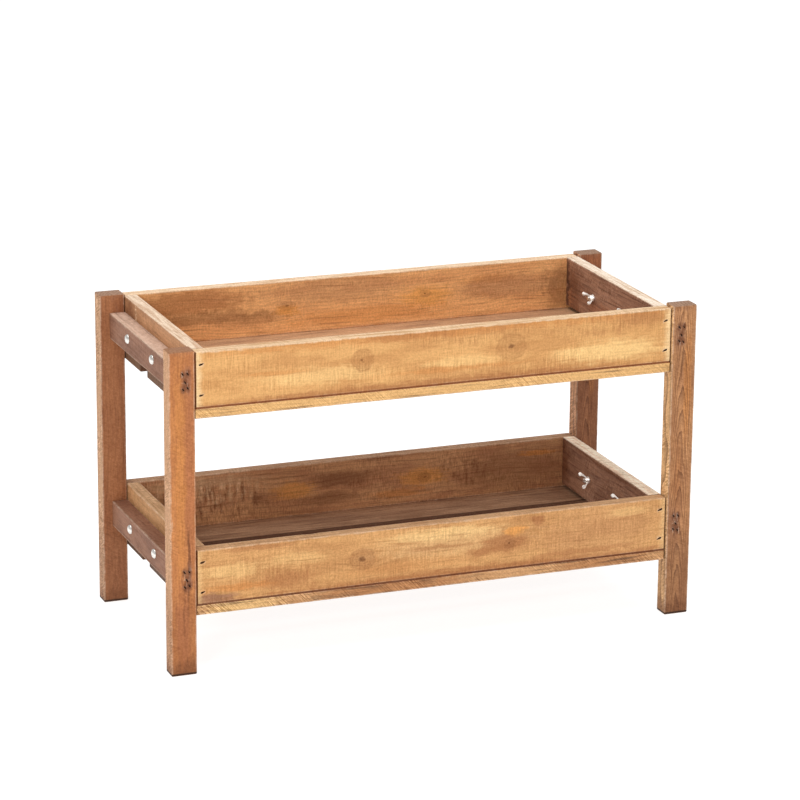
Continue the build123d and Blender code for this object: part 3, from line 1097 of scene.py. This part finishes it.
# Lower tray: patchy golden front, dark back and tan rims
LOWER_BASE, LOWER_RIM = (corner.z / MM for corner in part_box("lower_front_board"))
LOWER_FRONT = Look(
    tones=DEEP_GOLD,
    figure=(0.4, 0.12),
    bare=(LOWER_RIM - 0.6, 1.5, tone(212, 170, 126), tone(184, 140, 100)),
    stains=[
        (-262, 122, 50, 13, BRIGHT_GOLD, 0.5),
        (-180, 128, 60, 11, BRIGHT_GOLD, 0.4),
        (10, 138, 95, 11, BRIGHT_GOLD, 0.8),
        (-190, 103, 50, 14, BROWN, 0.6),
        (-250, 102, 60, 7, ORANGE, 0.7),
        (-285, 90, 42, 10, PLUM, 0.8),
        (60, LOWER_BASE, 420, 11, BROWN, 0.8),
        (-40, 103, 110, 11, ORANGE, 0.2),
        (20, 126, 130, 22, PALE_GOLD, 0.3),
        (90, 118, 42, 17, BROWN, 0.8),
        (131, 142, 11, 9, BROWN, 0.8),
        (58, 110, 22, 7, BROWN, 0.7),
        (102, 132, 18, 8, BRIGHT_ORANGE, 0.9),
        (215, 118, 110, 50, tone(200, 146, 98), 0.5),
        (-225, 148, 60, 5, BROWN, 0.6),
        (10, 122, 60, 4, BROWN, 0.5),
        (190, 96, 90, 5, BROWN, 0.5),
        (250, 140, 40, 8, BRIGHT_GOLD, 0.4),
    ],
    pale_ends=(296, 307, PALE_GOLD, 0.6),
    saw=(1.5, 0.0, 26.0, 0.22),
    strokes=[
        (-190, 108, 60, 40, BROWN, 0.5),
        (-60, 118, 90, 30, BROWN, 0.3),
        (80, 125, 220, 30, BROWN, 0.3),
    ],
    knots=[(-95, 118, 18, 14, 0.75), (94, 116, 8, 6, 1.0)],
)
LOWER_REAR = Look(
    tones=BACK_LOWER,
    figure=(0.5, 0.25),
    comb_pitch=5.5,
    bare=(LOWER_RIM - 0.6, 1.5, tone(190, 150, 116), tone(158, 118, 88)),
    stains=[
        (-210, 141, 110, 9, tone(198, 154, 116), 0.8),
        (-20, 128, 60, 14, DEEP_BROWN, 0.6),
        (-30, 104, 60, 10, DEEP_BROWN, 0.5),
        (220, 112, 100, 40, DEEP_BROWN, 0.4),
        (-82, 119, 40, 15, BRIGHT_ORANGE, 0.7),
        (92, 119, 46, 15, BRIGHT_ORANGE, 0.7),
        (250, 135, 35, 5, ORANGE, 0.8),
        (60, 100, 50, 8, ORANGE, 0.6),
    ],
    strokes=[
        (-200, 115, 110, 30, DEEP_BROWN, 0.9),
        (-210, 128, 110, 26, tone(228, 186, 144), 0.9),
        (150, 120, 60, 25, DEEP_BROWN, 0.6),
    ],
    knots=[(93, 118, 9, 6, 0.6)],
)
LOWER_LEFT = Look(
    tones=END_TAN,
    figure=(0.3, 0.15),
    bare=(LOWER_RIM - 0.6, 1.5, tone(216, 174, 130), tone(186, 144, 102)),
    strokes=[(0, 130, 160, 9, DEEP_BROWN, 0.7)],
)
LOWER_RIGHT = replace(
    DARK_END,
    bare=(LOWER_RIM - 0.6, 1.5, tone(255, 240, 216), tone(246, 216, 186)),
    stains=[(132, 120, 30, 50, DEEP_BROWN, 0.7), (0, LOWER_RIM - 4, 150, 3, DEEP_BROWN, 0.6)],
)
LOWER_FRONT_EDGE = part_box("lower_front_floor_board")[0].y / MM
LOWER_FLOOR = Look(
    tones=FLOOR_LOWER,
    figure=(0.75, 0.3),
    saw=(1.5, 1.0, 16.0, 0.2),
    stains=[
        (-250, LOWER_FRONT_EDGE, 60, 12, BRIGHT_GOLD, 0.6),
        (-60, LOWER_FRONT_EDGE, 130, 12, BROWN, 0.7),
        (225, LOWER_FRONT_EDGE, 90, 12, BROWN, 0.6),
    ],
)
dress_tray(
    "lower",
    seed=30,
    walls=dict(front=LOWER_FRONT, rear=LOWER_REAR, left=LOWER_LEFT, right=LOWER_RIGHT),
    rail=Look(tones=RAIL, figure=(0.45, 0.15)),
    floor=LOWER_FLOOR,
    floor_edge=(tone(210, 158, 108), 0.9, 5.0),
    front_chips=[(1, 45, 8, 1.2), (1, -100, 10, 0.8), (0, -157, 9, 2.0)],
    # Darker dirt and painted shade along the lower tray's floor joints, which lie in the upper tray's
    # shade
    joint_dirt_and_shade=tone(108, 54, 22),
)

make_bolts()
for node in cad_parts:
    if node.endswith("_wing_nut"):
        plate(node, cast_zinc, NUT_EDGE)
    if node.endswith("_washer"):
        plate(node, bolt_zinc, WASHER_EDGE)
    if node.endswith("_nails"):
        paint(node, brad_steel)


# Stage


def make_floor():
    """A pale floor that glows a little, so that shadows stay faint."""
    half = FLOOR_SIZE / 2
    corners = [(-half, -half, 0), (half, -half, 0), (half, half, 0), (-half, half, 0)]
    mesh = bpy.data.meshes.new("pale_floor")
    mesh.from_pydata(corners, [], [(0, 1, 2, 3)])
    mesh.materials.append(Graph("pale_floor").finish({
        "Base Color": (0.35, 0.35, 0.35, 1),
        "Roughness": 0.9,
        "Emission Color": (1, 1, 1, 1),
        "Emission Strength": 0.85,
    }))
    floor = new_object("pale_floor", mesh)


def make_light(name, place, size, power, mirrored=True):
    """A square soft light aimed at the shelf, which shiny pieces mirror or not."""
    light = bpy.data.lights.new(name, "AREA")
    light.size = size
    light.energy = power
    lamp = new_object(name, light)
    lamp.location = place
    lamp.visible_camera = False
    lamp.visible_glossy = mirrored
    lamp.rotation_mode = "QUATERNION"
    lamp.rotation_quaternion = (Vector(AIM) - Vector(place)).to_track_quat("-Z", "Y")
    return lamp


def light_only(lamp, pieces):
    """Keeps a lamp's light to some pieces."""
    lit = bpy.data.collections.new("lit_by_" + lamp.name)
    for piece in pieces:
        lit.objects.link(piece)
    lamp.light_linking.receiver_collection = lit


def make_sky():
    """Even white light from all round."""
    world = bpy.data.worlds.new("studio")
    world.use_nodes = True
    sky = world.node_tree.nodes["Background"]
    sky.inputs["Color"].default_value = (1, 1, 1, 1)
    sky.inputs["Strength"].default_value = SKY_STRENGTH
    bpy.context.scene.world = world


def make_camera():
    """The photograph's camera."""
    data = bpy.data.cameras.new("camera")
    data.lens = CAMERA_LENS_MM
    data.sensor_width = CAMERA_SENSOR_MM
    camera = new_object("camera", data)
    turn = Matrix.Rotation(math.radians(CAMERA_YAW), 4, "Z")
    tilt = Matrix.Rotation(math.radians(90 + CAMERA_PITCH), 4, "X")
    roll = Matrix.Rotation(math.radians(CAMERA_ROLL), 4, "Z")
    camera.matrix_world = Matrix.Translation(CAMERA_PLACE) @ turn @ tilt @ roll
    bpy.context.scene.camera = camera


make_floor()
make_sky()
make_light("overhead", place=(0.0, -0.2, 2.4), size=2.4, power=38)
make_light("key", place=(-1.9, -2.1, 1.5), size=0.6, power=20, mirrored=False)
glint = make_light("glint", place=(-0.4, -2.6, 1.9), size=0.4, power=100)
wing_nuts = [piece for node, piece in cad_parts.items() if node.endswith("_wing_nut")]
light_only(glint, wing_nuts)
make_camera()
bpy.context.scene.view_settings.view_transform = "Standard"
